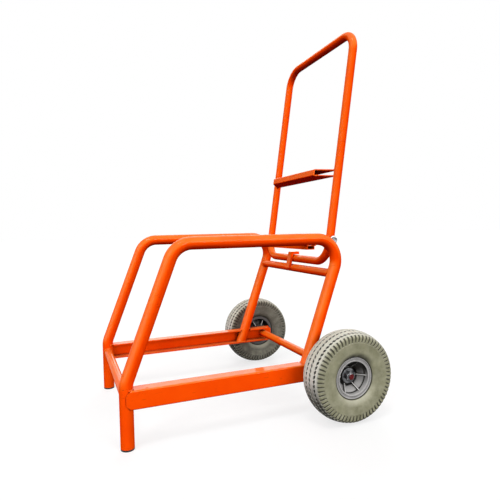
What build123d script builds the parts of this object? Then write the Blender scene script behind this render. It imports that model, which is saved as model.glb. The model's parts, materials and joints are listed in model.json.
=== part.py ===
from build123d import *
from math import asin, cos, degrees, pi, radians, sin, tan
import os

# Two-wheeled saw cart: pipe hoops on bottom channels, a folding loop handle, flat-free wheels.
# Millimetres. +X points to the rear, +Y to the operator's right, +Z up, floor at z = 0.
# Pieces are drawn with the axle at x = 0 and moved to the middle of the cart when written.

# Stance
tyre_diameter = 267.0
track = 682.0                   # between the tyres' middle planes
wheelbase = 617.0               # front leg to axle

# Hoops
hoop_od = 36.0
hoop_wall = 3.4
hoop_bend_radius = 65.0
rail_height = 530.0             # floor to the rail's centre line
front_knee_height = 170.3       # bend in the front leg
front_setback = 139.6           # top front corner behind the front leg
rear_overhang = 48.6            # top rear corner behind the axle
rear_leg_lean = 19.95           # degrees from upright

# Channels
channel_height = 50.8
channel_flange = 38.0
channel_thickness = 4.5
channel_corner_radius = 4.0
front_tongue = 2.5              # web past the front leg's centre line
rear_tongue = 38.0              # web behind the axle
rear_flange = 14.0              # flanges behind the axle
tongue_chamfer = 13.0

# Cross tubes, the axle tube among them
cross_od = 26.7
cross_wall = 2.9
rear_cross_forward = 4.0        # rear cross tube ahead of the leg's centre line
bottom_bar_gap = 7.6            # between the handle's bottom bar and the rear cross tube

# Handle rest bar
rest_bar_depth = 25.4
rest_bar_height = 12.7
rest_bar_wall = 2.0
rest_bar_overhang = 4.5         # past the rail's middle plane
rest_bar_lead = 24.0            # ahead of the start of the rear bend

# Handle
handle_od = 26.7
handle_wall = 2.9
handle_bend_radius = 62.0
handle_lean = 8.76              # degrees behind upright
handle_rise = 668.9             # pivot to top bar, along the leg
handle_drop = 70.0              # pivot to bottom bar, along the leg

# Handle bracket
bracket_rise = 213.3            # pivot to bracket, along the leg
bracket_height = 21.6
bracket_stand_off = 50.8        # handle's middle plane to the bracket's front
bracket_web_width = 300.0
bracket_thickness = 3.0
bracket_corner_radius = 3.0

# Handle stop hook
hook_width = 24.0
hook_thickness = 9.5
hook_foot = 4.0                 # below the rear cross tube's middle
hook_lift = 1.5                 # tab above the handle's bottom bar
hook_reach = 12.0               # tab past the bottom bar's middle
hook_corner_radius = 2.0

# Handle pivots
pivot_bolt_diameter = 10.0
pivot_hex = 16.0                # across flats
pivot_head_height = 6.4
pivot_nut_height = 10.0
pivot_bolt_stub = 2.5           # past the nut
pivot_stand_off = 8.2           # pivot's axis above the skin of the hoop's bend
pivot_sleeve_od = 14.0
lug_radius = 13.0
lug_inside = 3.0                # lug thickness inside the hoop
lug_wrap = 2.0                  # lug thickness that wraps over the pipe
head_washer_od = 26.0
head_washer_thickness = 2.0
thrust_washer_od = 22.0
thrust_washer_thickness = 1.25
end_washer_od = 24.0
end_washer_thickness = 2.0

# Foot plugs
plug_rim = 5.0
plug_spigot = 20.0
plug_wall = 3.0
plug_edge = 1.0

# Axle
axle_diameter = 15.875
axle_stub = 1.8                 # past the nut
axle_tip_chamfer = 1.5
axle_hex = 23.8                 # across flats
axle_nut_height = 14.0
axle_washer_od = 44.45
axle_washer_thickness = 3.4
axle_spacer_od = 25.0
axle_spacer_length = 11.2       # channel to bearing

# Hub and bearings
hub_length = 57.0
hub_outset = 2.5                # hub's outer end outside the wheel's middle plane
hub_od = 41.0
hub_step = 2.0                  # shoulder that each bearing sits against
bearing_od = 35.0
bearing_width = 11.0
ball_diameter = 5.5
ball_count = 9
race_proud = 0.3                # inner race past the hub's end

# Rim
rim_flange_diameter = 120.0
rim_opening_diameter = 96.0
rim_seat_diameter = 112.0
rim_width = 66.0
rim_flange_thickness = 4.0
rim_lip_radius = 1.5
rim_boss_wall = 4.0
rim_boss_setback = 6.5          # boss inside the hub's outer end
rim_boss_length = 30.0
rim_web_depth = 16.0            # web below the lip, at the barrel
rim_web_thickness = 6.0
rib_count = 6
rib_thickness = 3.0
rib_lip_depth = 7.0             # rib's edge below the lip
rib_hub_rise = 7.0              # rib's edge above the boss's end
rib_bite = 1.0                  # rib's root inside the rim

# Tyre
tyre_width = 87.0
tread_width = 74.0
tread_drop = 7.5                # tread's edge below the crown
shoulder_drop = 21.5            # top of the sidewall below the crown
sidewall_flat = 30.0            # upright part of the sidewall, above its turn to the bead
bead_width = 70.0
bead_gap = 2.3                  # tyre's bead clear of the rim's flange

# Clearances
weld_gap = 0.2                  # pieces joined by a weld bead
seat_gap = 0.05                 # round pieces pressed or bonded together
running_gap = 0.05              # bolt in its turning sleeve
ball_gap = 0.06
play = 0.3                      # side play and rest play of the handle
notch_gap = 1.2                 # rear leg in the channel's top flange
cut_past = 5.0                  # cutters run past what they cut

# Worked out: wheels, then inwards along the axle to the channels and hoops
wheel_y = track / 2
hub_inner = hub_outset - hub_length
spacer_y = wheel_y + hub_inner - race_proud
web_outside = spacer_y - axle_spacer_length
web_inside = web_outside - channel_thickness
hoop_radius = hoop_od / 2
hoop_spacing = 2 * (web_inside - weld_gap - hoop_radius)
hoop_plane = hoop_spacing / 2
hoop_inside = hoop_plane - hoop_radius
axle_z = tyre_diameter / 2
channel_bottom = axle_z - channel_height / 2
channel_top = axle_z + channel_height / 2
leg_foot_z = channel_bottom + channel_thickness
flange_lip = web_outside - channel_flange
lean = radians(rear_leg_lean)
leg_up = Vector(sin(lean), 0, cos(lean))
leg_forward = Vector(-cos(lean), 0, sin(lean))
rear_corner = Vector(rear_overhang, hoop_plane, rail_height)
rear_tangent = hoop_bend_radius * tan((pi / 2 + lean) / 2)
rear_bend_x = rear_overhang - rear_tangent
rear_bend_z = rail_height - hoop_bend_radius

# Worked out: pivot, handle and what meets it
handle_radius = handle_od / 2
cross_radius = cross_od / 2
rest_bar_top = rail_height - hoop_radius - weld_gap
pivot_z = rest_bar_top + handle_radius + play
pivot_reach = hoop_bend_radius + hoop_radius + pivot_stand_off
pivot_angle = asin((pivot_z - rear_bend_z) / pivot_reach)
pivot_x = rear_bend_x + pivot_reach * cos(pivot_angle)
lug_face = hoop_inside - lug_inside
lug_back = hoop_inside + lug_wrap
handle_plane_y = lug_face - thrust_washer_thickness - play - handle_radius
handle_tilt = radians(handle_lean)
handle_up = Vector(sin(handle_tilt), 0, cos(handle_tilt))
handle_rear = Vector(cos(handle_tilt), 0, -sin(handle_tilt))
pivot = Vector(pivot_x, 0, pivot_z)
handle_frame = Plane(origin=pivot, x_dir=(0, 1, 0), z_dir=handle_rear)
top_bar = pivot + handle_up * handle_rise
bottom_bar = pivot - handle_up * handle_drop
rear_cross_z = bottom_bar.Z - handle_radius - bottom_bar_gap - cross_radius
rear_cross_run = (rail_height - rear_cross_z) / cos(lean)
rear_cross = rear_corner - leg_up * rear_cross_run + leg_forward * rear_cross_forward

# Worked out: axle ends and the middle of the cart
tyre_radius = tyre_diameter / 2
axle_radius = axle_diameter / 2
washer_y = wheel_y + hub_outset + race_proud
nut_y = washer_y + axle_washer_thickness
axle_end_y = nut_y + axle_nut_height + axle_stub
front_x = -wheelbase - hoop_radius
rear_x = max(tyre_radius, top_bar.X + handle_radius)
middle_x = (front_x + rear_x) / 2


def rod_along(path, diameter):
    section = Plane(origin=path @ 0, z_dir=path % 0) * Circle(diameter / 2)
    return sweep(section, path=path)


def pipe_along(path, od, wall):
    return rod_along(path, od) - rod_along(path, od - 2 * wall)


def rod_between(start, end, diameter):
    run = Vector(*end) - Vector(*start)
    return extrude(Plane(origin=start, z_dir=run) * Circle(diameter / 2), amount=run.length)


def rod_across(x, z, y_from, y_to, diameter):
    return rod_between((x, y_from, z), (x, y_to, z), diameter)


def ring_across(x, z, y_from, y_to, od, bore):
    return rod_across(x, z, y_from, y_to, od) - rod_across(x, z, y_from, y_to, bore)


def hex_across(x, z, y_from, y_to, flats):
    start = Plane(origin=(x, y_from, z), z_dir=(0, y_to - y_from, 0))
    outline = RegularPolygon(flats / 2, 6, major_radius=False)
    return extrude(start * outline, amount=abs(y_to - y_from))


def block(low, high):
    size = [b - a for a, b in zip(low, high)]
    centre = [(a + b) / 2 for a, b in zip(low, high)]
    return Pos(*centre) * Box(*size)


def left_of(piece):
    return mirror(piece, about=Plane.XZ)


def pair_of(piece):
    return Compound([*piece.solids(), *left_of(piece).solids()])


def outline_across(points, y_from, y_to):
    face = make_face(Polyline(*[(x, y_from, z) for x, z in points], close=True))
    return extrude(face, amount=y_to - y_from, dir=(0, 1, 0))


# Hoop: foot, front post, rail and rear leg in one bent pipe
hoop_end = rear_corner - leg_up * ((rail_height - channel_bottom) / cos(lean))
hoop_path = FilletPolyline(
    (-wheelbase, hoop_plane, plug_rim),
    (-wheelbase, hoop_plane, front_knee_height),
    (-wheelbase + front_setback, hoop_plane, rail_height),
    rear_corner,
    hoop_end - leg_up * hoop_od,
    radius=hoop_bend_radius,
)
below_foot = block(
    (hoop_end.X - 2 * hoop_od, flange_lip - cut_past, channel_bottom - 2 * hoop_od),
    (hoop_end.X + 2 * hoop_od, web_outside + cut_past, leg_foot_z),
)
hoop_skin = rod_along(hoop_path, hoop_od)
right_hoop = pipe_along(hoop_path, hoop_od, hoop_wall) - below_foot

# Channel: flanges cut back at both ends, so the web is left as a chamfered tongue
channel_front = -wheelbase - front_tongue
flange_front = -wheelbase + hoop_radius + weld_gap
side_outline = [
    (channel_front, channel_bottom + tongue_chamfer),
    (channel_front, channel_top - tongue_chamfer),
    (channel_front + tongue_chamfer, channel_top),
    (rear_tongue - tongue_chamfer, channel_top),
    (rear_tongue, channel_top - tongue_chamfer),
    (rear_tongue, channel_bottom + tongue_chamfer),
    (rear_tongue - tongue_chamfer, channel_bottom),
    (channel_front + tongue_chamfer, channel_bottom),
]
section_plane = Plane(origin=(channel_front, web_outside, axle_z), x_dir=(0, -1, 0), z_dir=(1, 0, 0))
section = Pos(channel_flange / 2, 0) * Rectangle(channel_flange, channel_height)
section = fillet(section.vertices().group_by(Axis.X)[0], channel_corner_radius)
hollow_width = channel_flange - channel_thickness + cut_past
hollow_height = channel_height - 2 * channel_thickness
section -= Pos(channel_thickness + hollow_width / 2, 0) * Rectangle(hollow_width, hollow_height)
channel_blank = extrude(section_plane * section, amount=rear_tongue - channel_front)
right_channel = channel_blank & outline_across(side_outline, flange_lip - cut_past, web_outside + cut_past)
for x_from, x_to in ((channel_front - cut_past, flange_front), (rear_flange, rear_tongue + cut_past)):
    right_channel -= block(
        (x_from, flange_lip - cut_past, channel_bottom - cut_past),
        (x_to, web_inside, channel_top + cut_past),
    )

# Notch in the top flange, open towards the middle, where the rear leg goes through
notch_radius = hoop_radius + notch_gap
notch_head = rear_corner - leg_up * ((rail_height - channel_top - hoop_od) / cos(lean))
notch_side = leg_forward * notch_radius
notch_corners = [
    hoop_end + notch_side,
    notch_head + notch_side,
    notch_head - notch_side,
    hoop_end - notch_side,
]
notch = rod_between(hoop_end, notch_head, 2 * notch_radius)
notch += outline_across([(p.X, p.Z) for p in notch_corners], flange_lip - cut_past, hoop_plane)
notch &= block(
    (hoop_end.X - hoop_od, flange_lip - cut_past, channel_top - 2 * channel_thickness),
    (notch_head.X + hoop_od, web_inside, channel_top + cut_past),
)
right_channel -= notch
right_channel -= rod_across(0, axle_z, flange_lip, web_outside + cut_past, axle_diameter + 2 * seat_gap)

# Cross tubes, coped to the legs
front_leg_skin = rod_between(
    (-wheelbase, hoop_plane, 0),
    (-wheelbase, hoop_plane, front_knee_height),
    hoop_od + 2 * weld_gap,
)
rear_leg_skin = rod_between(hoop_end, rear_corner, hoop_od + 2 * weld_gap)


def cross_tube(x, z, reach):
    return ring_across(x, z, -reach, reach, cross_od, cross_od - 2 * cross_wall)


front_cross_tube = cross_tube(-wheelbase, axle_z, hoop_plane)
front_cross_tube = front_cross_tube - front_leg_skin - left_of(front_leg_skin)
rear_cross_tube = cross_tube(rear_cross.X, rear_cross.Z, hoop_plane)
rear_cross_tube = rear_cross_tube - rear_leg_skin - left_of(rear_leg_skin)
axle_tube = cross_tube(0, axle_z, web_inside)

# Rest bar: open rectangular tube under both rails
rest_bar_x = rear_bend_x - rest_bar_lead
rest_bar_reach = hoop_plane + rest_bar_overhang
rest_bar_z = rest_bar_top - rest_bar_height / 2
handle_rest_bar = Pos(rest_bar_x, 0, rest_bar_z) * (
    Box(rest_bar_depth, 2 * rest_bar_reach, rest_bar_height)
    - Box(rest_bar_depth - 2 * rest_bar_wall, 2 * rest_bar_reach, rest_bar_height - 2 * rest_bar_wall)
)

# Stop hook: a flat bar up the front of the rear cross tube, with a level tab over the handle's bottom bar
hook_inside = handle_radius + play
hook_outside = hook_inside + hook_thickness
cross_to_bar = bottom_bar - Vector(rear_cross.X, 0, rear_cross.Z)
strap_tilt = asin((hook_inside - cross_radius - weld_gap) / cross_to_bar.length)
strap_foot = -cross_to_bar.length * cos(strap_tilt) - hook_foot
strap_up = cross_to_bar.rotate(Axis.Y, -degrees(strap_tilt)).normalized()
strap_forward = Vector(-strap_up.Z, 0, strap_up.X)
tab_bottom = bottom_bar.Z + handle_radius + hook_lift
tab_top = tab_bottom + hook_thickness
tab_end = bottom_bar.X + hook_reach


def strap_point(forward, up):
    point = bottom_bar + strap_forward * forward + strap_up * up
    return (point.X, point.Z)


def strap_at_height(forward, z):
    base = bottom_bar + strap_forward * forward
    return strap_point(forward, (z - base.Z) / strap_up.Z)


hook_outline = [
    strap_point(hook_inside, strap_foot),
    strap_point(hook_outside, strap_foot),
    strap_at_height(hook_outside, tab_top),
    (tab_end, tab_top),
    (tab_end, tab_bottom),
    strap_at_height(hook_inside, tab_bottom),
]
handle_stop_hook = outline_across(hook_outline, -hook_width / 2, hook_width / 2)
hook_corner = handle_stop_hook.edges().filter_by(Axis.Y).group_by(Axis.Z)[-1].sort_by(Axis.X)[0]
handle_stop_hook = fillet(hook_corner, hook_corner_radius)
rear_cross_skin = rod_across(rear_cross.X, rear_cross.Z, -hook_width, hook_width, cross_od + 2 * weld_gap)
handle_stop_hook -= rear_cross_skin

# Pivot lug: an ear on the inside of the rear bend, wrapped on to the pipe
bend_point = Vector(
    rear_bend_x + hoop_bend_radius * cos(pivot_angle),
    0,
    rear_bend_z + hoop_bend_radius * sin(pivot_angle),
)
ear_length = hoop_radius + pivot_stand_off
ear_plane = Plane(
    origin=(bend_point.X, lug_face, bend_point.Z),
    x_dir=(cos(pivot_angle), 0, sin(pivot_angle)),
    z_dir=(0, 1, 0),
)
ear = Pos(ear_length / 2, 0) * SlotCenterToCenter(ear_length, 2 * lug_radius)
right_pivot_lug = extrude(ear_plane * ear, amount=lug_back - lug_face) - hoop_skin
right_pivot_lug -= rod_across(
    pivot_x, pivot_z, lug_face - cut_past, lug_back + cut_past, pivot_bolt_diameter + 2 * seat_gap
)

# Pivot bolt, from the head outside the lug to the nut inside the handle's leg
head_washer_y = lug_back + head_washer_thickness
thrust_washer_y = lug_face - thrust_washer_thickness
leg_inside = handle_plane_y - handle_radius
end_washer_y = leg_inside - play - end_washer_thickness
pivot_nut_y = end_washer_y - pivot_nut_height
pivot_bore = pivot_bolt_diameter + 2 * seat_gap


def pivot_ring(y_from, y_to, od):
    return ring_across(pivot_x, pivot_z, y_from, y_to, od, pivot_bore)


pivot_bolt = rod_across(
    pivot_x, pivot_z, pivot_nut_y - pivot_bolt_stub, head_washer_y, pivot_bolt_diameter
)
pivot_bolt += hex_across(pivot_x, pivot_z, head_washer_y, head_washer_y + pivot_head_height, pivot_hex)
pivot_nut = hex_across(pivot_x, pivot_z, pivot_nut_y, end_washer_y, pivot_hex)
pivot_nut -= rod_across(pivot_x, pivot_z, pivot_nut_y - cut_past, end_washer_y + cut_past, pivot_bore)

# Handle loop, drawn upright in its own plane: x to the right, y up the leg, z to the rear
handle_height = handle_rise + handle_drop
loop_centre = (handle_rise - handle_drop) / 2
loop_path = (Pos(0, loop_centre) * RectangleRounded(
    2 * handle_plane_y, handle_height, handle_bend_radius
)).wire()
sleeve_bore = pivot_bolt_diameter + 2 * running_gap
handle_upright = pipe_along(loop_path, handle_od, handle_wall)
sleeve_upright = Part()
for side in (-1, 1):
    leg_turn = Pos(side * handle_plane_y, 0, 0) * Rot(0, 90, 0)
    handle_upright -= leg_turn * Cylinder(pivot_sleeve_od / 2 + seat_gap, handle_od + cut_past)
    sleeve_upright += leg_turn * (
        Cylinder(pivot_sleeve_od / 2, handle_od) - Cylinder(sleeve_bore / 2, handle_od)
    )
handle_loop = handle_frame.location * handle_upright
handle_pivot_sleeves = handle_frame.location * sleeve_upright

# Bracket: a shallow channel ahead of the handle, its flanges splayed back to the legs
bracket_profile = Pos(-bracket_stand_off / 2, 0) * Rectangle(bracket_stand_off, bracket_height)
bracket_profile = fillet(bracket_profile.vertices().group_by(Axis.X)[0], bracket_corner_radius)
bracket_gap_depth = bracket_stand_off - bracket_thickness + cut_past
bracket_profile -= Pos(bracket_gap_depth / 2 - bracket_stand_off + bracket_thickness, 0) * Rectangle(
    bracket_gap_depth, bracket_height - 2 * bracket_thickness
)
profile_plane = Plane(origin=(-handle_plane_y, bracket_rise, 0), x_dir=(0, 0, 1), z_dir=(1, 0, 0))
bracket_blank = extrude(profile_plane * bracket_profile, amount=2 * handle_plane_y)
splay = make_face(Polyline(
    (-bracket_web_width / 2, -bracket_stand_off),
    (bracket_web_width / 2, -bracket_stand_off),
    (handle_plane_y, 0),
    (-handle_plane_y, 0),
    close=True,
))
splay_plane = Plane(
    origin=(0, bracket_rise - bracket_height / 2, 0), x_dir=(1, 0, 0), z_dir=(0, -1, 0)
)
bracket_upright = bracket_blank & extrude(splay_plane * splay, amount=-bracket_height)
for side in (-1, 1):
    leg = rod_between(
        (side * handle_plane_y, bracket_rise - bracket_height, 0),
        (side * handle_plane_y, bracket_rise + bracket_height, 0),
        handle_od + 2 * weld_gap,
    )
    bracket_upright -= leg
handle_bracket = handle_frame.location * bracket_upright

# Foot plug: a cup pushed into the front leg, with a rim under the pipe
plug_radius = hoop_radius - hoop_wall - seat_gap
foot_plug = Pos(0, 0, plug_rim / 2) * Cylinder(hoop_radius, plug_rim)
foot_plug = fillet(foot_plug.edges().group_by(Axis.Z)[0], plug_edge)
foot_plug += Pos(0, 0, plug_rim + plug_spigot / 2) * (
    Cylinder(plug_radius, plug_spigot) - Cylinder(plug_radius - plug_wall, plug_spigot)
)
right_foot_plug = Pos(-wheelbase, hoop_plane, 0) * foot_plug

# Axle rod with its spacers, washers and nuts
axle_rod = rod_across(0, axle_z, -axle_end_y, axle_end_y, axle_diameter)
axle_rod = chamfer(axle_rod.edges().filter_by(GeomType.CIRCLE), axle_tip_chamfer)
axle_bore = axle_diameter + 2 * seat_gap
axle_spacer = ring_across(0, axle_z, web_outside, spacer_y, axle_spacer_od, axle_bore)
axle_washer = ring_across(0, axle_z, washer_y, nut_y, axle_washer_od, axle_bore)
axle_nut = hex_across(0, axle_z, nut_y, nut_y + axle_nut_height, axle_hex)
axle_nut -= rod_across(0, axle_z, nut_y - cut_past, nut_y + axle_nut_height + cut_past, axle_bore)


# Wheel pieces are turned about Y at the origin, +Y outwards: sketch x is radius, y is width
def turned(points):
    return revolve(make_face(Polyline(*points, close=True)), Axis.Y)


bearing_seat = bearing_od / 2 + seat_gap
step_radius = bearing_seat - hub_step
hub_tube = turned([
    (bearing_seat, hub_inner),
    (hub_od / 2, hub_inner),
    (hub_od / 2, hub_outset),
    (bearing_seat, hub_outset),
    (bearing_seat, hub_outset - bearing_width),
    (step_radius, hub_outset - bearing_width),
    (step_radius, hub_inner + bearing_width),
    (bearing_seat, hub_inner + bearing_width),
])

# Bearing: the outer race turns with the hub, the inner race and balls stay on the axle
race_bore = axle_radius + seat_gap
pitch_radius = (bearing_od / 2 + race_bore) / 2
race_gap = ball_diameter / 2
groove = Pos(pitch_radius, 0) * Circle(ball_diameter / 2 + ball_gap)
outer_width = bearing_od / 2 - pitch_radius - race_gap / 2
outer_section = Pos(bearing_od / 2 - outer_width / 2, 0) * Rectangle(outer_width, bearing_width)
outer_race = revolve(outer_section - groove, Axis.Y)
inner_width = pitch_radius - race_gap / 2 - race_bore
inner_section = Pos(race_bore + inner_width / 2, race_proud / 2) * Rectangle(
    inner_width, bearing_width + race_proud
)
inner_race = revolve(inner_section - groove, Axis.Y)
balls = [
    Rot(0, 360 * i / ball_count, 0) * Pos(pitch_radius, 0, 0) * Sphere(ball_diameter / 2)
    for i in range(ball_count)
]
bearing_places = [
    Pos(0, hub_outset - bearing_width / 2, 0),
    Pos(0, hub_inner + bearing_width / 2, 0) * Rot(180, 0, 0),
]

# Rim: a barrel with two lips, a sloping web down to the hub boss, and ribs on both sides
rim_lip = rim_width / 2
rim_flange_radius = rim_flange_diameter / 2
rim_opening_radius = rim_opening_diameter / 2
rim_seat_radius = rim_seat_diameter / 2
rim_bore = hub_od / 2 + seat_gap
boss_radius = rim_bore + rim_boss_wall
boss_outer = hub_outset - rim_boss_setback
boss_inner = boss_outer - rim_boss_length
flange_inner = rim_lip - rim_flange_thickness
web_outer = rim_lip - rim_web_depth
rim_outline = make_face(Polyline(
    (rim_bore, boss_inner),
    (boss_radius, boss_inner),
    (boss_radius, boss_outer - rim_web_thickness),
    (rim_opening_radius, web_outer - rim_web_thickness),
    (rim_opening_radius, -rim_lip),
    (rim_flange_radius, -rim_lip),
    (rim_flange_radius, -flange_inner),
    (rim_seat_radius, -flange_inner),
    (rim_seat_radius, flange_inner),
    (rim_flange_radius, flange_inner),
    (rim_flange_radius, rim_lip),
    (rim_opening_radius, rim_lip),
    (rim_opening_radius, web_outer),
    (boss_radius, boss_outer),
    (rim_bore, boss_outer),
    close=True,
))
lip_corners = rim_outline.vertices().group_by(Axis.Y)
rim_outline = fillet(lip_corners[0] + lip_corners[-1], rim_lip_radius)
rim = revolve(rim_outline, Axis.Y)
root_inner = boss_radius - rib_bite
root_outer = rim_opening_radius + rib_bite
rib_outlines = [
    [
        (root_inner, boss_outer - rim_web_thickness / 2),
        (root_outer, web_outer - rim_web_thickness / 2),
        (root_outer, rim_lip - rib_lip_depth),
        (root_inner, boss_outer + rib_hub_rise),
    ],
    [
        (root_inner, boss_outer - rim_web_thickness / 2),
        (root_outer, web_outer - rim_web_thickness / 2),
        (root_outer, rib_lip_depth - rim_lip),
        (root_inner, boss_inner + rib_bite),
    ],
]
for outline in rib_outlines:
    rib = extrude(make_face(Polyline(*outline, close=True)), amount=rib_thickness / 2, both=True)
    rim += [Rot(0, 360 * i / rib_count, 0) * rib for i in range(rib_count)]

# Tyre: crowned tread, sloping shoulders and sidewalls that turn in over the rim's flanges
crown_edge = tyre_radius - tread_drop
wall_top = tyre_radius - shoulder_drop
wall_bottom = wall_top - sidewall_flat
bead_radius = rim_flange_radius + bead_gap
tyre_seat = rim_seat_radius + seat_gap
seat_half = flange_inner - seat_gap


def tyre_side(side):
    return [
        Polyline(
            (crown_edge, side * tread_width / 2),
            (wall_top, side * tyre_width / 2),
            (wall_bottom, side * tyre_width / 2),
        ),
        TangentArc(
            (wall_bottom, side * tyre_width / 2),
            (bead_radius, side * bead_width / 2),
            tangent=(-1, 0),
        ),
        Polyline(
            (bead_radius, side * bead_width / 2),
            (bead_radius, side * seat_half),
            (tyre_seat, side * seat_half),
        ),
    ]


tyre_outline = make_face([
    ThreePointArc((crown_edge, -tread_width / 2), (tyre_radius, 0), (crown_edge, tread_width / 2)),
    *tyre_side(1),
    Line((tyre_seat, seat_half), (tyre_seat, -seat_half)),
    *tyre_side(-1),
])
tyre = revolve(tyre_outline, Axis.Y)

wheel_places = {
    "left": Pos(0, -wheel_y, axle_z) * Rot(0, 0, 180),
    "right": Pos(0, wheel_y, axle_z),
}

pieces = {
    "left_hoop": left_of(right_hoop),
    "right_hoop": right_hoop,
    "left_channel": left_of(right_channel),
    "right_channel": right_channel,
    "front_cross_tube": front_cross_tube,
    "rear_cross_tube": rear_cross_tube,
    "axle_tube": axle_tube,
    "handle_rest_bar": handle_rest_bar,
    "handle_stop_hook": handle_stop_hook,
    "left_pivot_lug": left_of(right_pivot_lug),
    "right_pivot_lug": right_pivot_lug,
    "pivot_bolts": pair_of(pivot_bolt),
    "pivot_head_washers": pair_of(pivot_ring(lug_back, head_washer_y, head_washer_od)),
    "pivot_thrust_washers": pair_of(pivot_ring(thrust_washer_y, lug_face, thrust_washer_od)),
    "pivot_end_washers": pair_of(
        pivot_ring(end_washer_y, end_washer_y + end_washer_thickness, end_washer_od)
    ),
    "pivot_nuts": pair_of(pivot_nut),
    "left_foot_plug": left_of(right_foot_plug),
    "right_foot_plug": right_foot_plug,
    "axle_rod": axle_rod,
    "axle_spacers": pair_of(axle_spacer),
    "axle_washers": pair_of(axle_washer),
    "axle_nuts": pair_of(axle_nut),
    "handle_loop": handle_loop,
    "handle_bracket": handle_bracket,
    "handle_pivot_sleeves": handle_pivot_sleeves,
}
inner_races = []
bearing_balls = []
for side, wheel in wheel_places.items():
    pieces[side + "_tyre"] = wheel * tyre
    pieces[side + "_rim"] = wheel * rim
    pieces[side + "_hub_tube"] = wheel * hub_tube
    seats = [wheel * place for place in bearing_places]
    pieces[side + "_bearing_outer_races"] = Compound([(seat * outer_race).solid() for seat in seats])
    inner_races += [(seat * inner_race).solid() for seat in seats]
    bearing_balls += [(seat * ball).solid() for seat in seats for ball in balls]
pieces["bearing_inner_races"] = Compound(inner_races)
pieces["bearing_balls"] = Compound(bearing_balls)

os.makedirs("parts", exist_ok=True)
for node, piece in pieces.items():
    export_step(Pos(-middle_x, 0, 0) * piece, "parts/" + node + ".step")

print("length", round(rear_x - front_x, 2), "height", round(top_bar.Z + handle_radius, 2))
print("pivot", round(pivot_x - middle_x, 3), round(pivot_z, 3), "axle", round(-middle_x, 3), axle_z)
print("fold", round(90 + degrees(handle_tilt), 2), "middle", round(middle_x, 3))
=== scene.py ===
import json
import math

import bmesh
import bpy
from mathutils import Matrix, Vector


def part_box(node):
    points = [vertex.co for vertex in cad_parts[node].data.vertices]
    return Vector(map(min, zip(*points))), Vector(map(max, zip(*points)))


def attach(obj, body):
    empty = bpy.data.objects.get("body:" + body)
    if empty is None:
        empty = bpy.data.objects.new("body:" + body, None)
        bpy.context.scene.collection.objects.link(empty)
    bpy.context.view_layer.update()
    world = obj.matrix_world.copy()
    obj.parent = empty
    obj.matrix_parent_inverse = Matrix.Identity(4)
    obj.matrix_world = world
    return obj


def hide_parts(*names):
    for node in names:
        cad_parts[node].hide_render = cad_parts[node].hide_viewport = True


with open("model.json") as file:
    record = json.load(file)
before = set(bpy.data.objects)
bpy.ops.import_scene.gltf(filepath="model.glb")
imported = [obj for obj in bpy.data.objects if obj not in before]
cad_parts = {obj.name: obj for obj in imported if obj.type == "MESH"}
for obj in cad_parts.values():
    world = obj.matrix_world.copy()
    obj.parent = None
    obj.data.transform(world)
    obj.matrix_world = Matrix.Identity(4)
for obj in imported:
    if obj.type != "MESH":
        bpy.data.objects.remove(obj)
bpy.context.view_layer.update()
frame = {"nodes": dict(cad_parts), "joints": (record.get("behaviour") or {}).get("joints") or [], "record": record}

scene = bpy.context.scene
scene.view_settings.view_transform = "Standard"
mm = 0.001
weldGap = 0.01 * mm  # points nearer than this become one
softAngle = 38.0  # edges up to this are shaded smooth
sides = {"left": -1, "right": 1}  # the operator's left is -Y
joints = {joint["name"]: joint for joint in frame["joints"]}
axle = Vector(joints["left_wheel_spin"]["pos_m"])
pivot = Vector(joints["handle_fold"]["pos_m"])


def middleOf(node):
    low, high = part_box(node)
    return (low + high) / 2


def sizeOf(node):
    low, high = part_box(node)
    return high - low


# Node building, shared by the shader and the geometry trees

def feed(tree, sockets, values):
    for key, value in values.items():
        if isinstance(value, bpy.types.NodeSocket):
            tree.links.new(value, sockets[key])
        else:
            sockets[key].default_value = value


def put(tree, kind, feeds=None, **settings):
    node = tree.nodes.new(kind)
    for key, value in settings.items():
        setattr(node, key, value)
    feed(tree, node.inputs, feeds or {})
    return node.outputs


def maths(tree, operation, *values, clamp=False):
    return put(tree, "ShaderNodeMath", dict(enumerate(values)), operation=operation, use_clamp=clamp)[0]


def remap(tree, value, fromLow, fromHigh, toLow=0.0, toHigh=1.0):
    feeds = {"Value": value, "From Min": fromLow, "From Max": fromHigh, "To Min": toLow, "To Max": toHigh}
    return put(tree, "ShaderNodeMapRange", feeds)[0]


def noise(tree, place, scale, detail=3.0, roughness=0.5):
    feeds = {"Vector": place, "Scale": scale, "Detail": detail, "Roughness": roughness}
    return put(tree, "ShaderNodeTexNoise", feeds)[0]


def blend(tree, factor, first, second):
    return put(tree, "ShaderNodeMix", {0: factor, 6: first, 7: second}, data_type="RGBA")[2]


def carried(tree, name):
    # a value that the mesh's vertices carry
    return put(tree, "ShaderNodeAttribute", attribute_name=name)["Fac"]


def colour(red, green, blue):
    return (red, green, blue, 1.0)


def newTree(name, kind, inputs, outputs):
    tree = bpy.data.node_groups.new(name, kind)
    for way, sockets in (("INPUT", inputs), ("OUTPUT", outputs)):
        for label, socket in sockets.items():
            tree.interface.new_socket(name=label, in_out=way, socket_type="NodeSocket" + socket)
    return tree, tree.nodes.new("NodeGroupInput").outputs, tree.nodes.new("NodeGroupOutput").inputs


def objectPlace(tree):
    return put(tree, "ShaderNodeTexCoord")["Object"]


# Effects that several finishes share; each pair is the part of a noise or an angle that counts

effectForm = {
    "mottle": (0.3, 0.7),
    "edge": (0.985, 0.86),  # cosine between the softened and the plain normal
    "chips": (0.47, 0.62),
    "dustCloud": (0.42, 0.66),
    "scratch": (0.63, 0.70),
    "scratchField": (0.5, 0.6),
    "fieldScale": 9.0,
    "patch": (0.25, 0.6),
    "recessShadeLeast": 0.55,
    "tiltLeast": 0.6,
}


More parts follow.
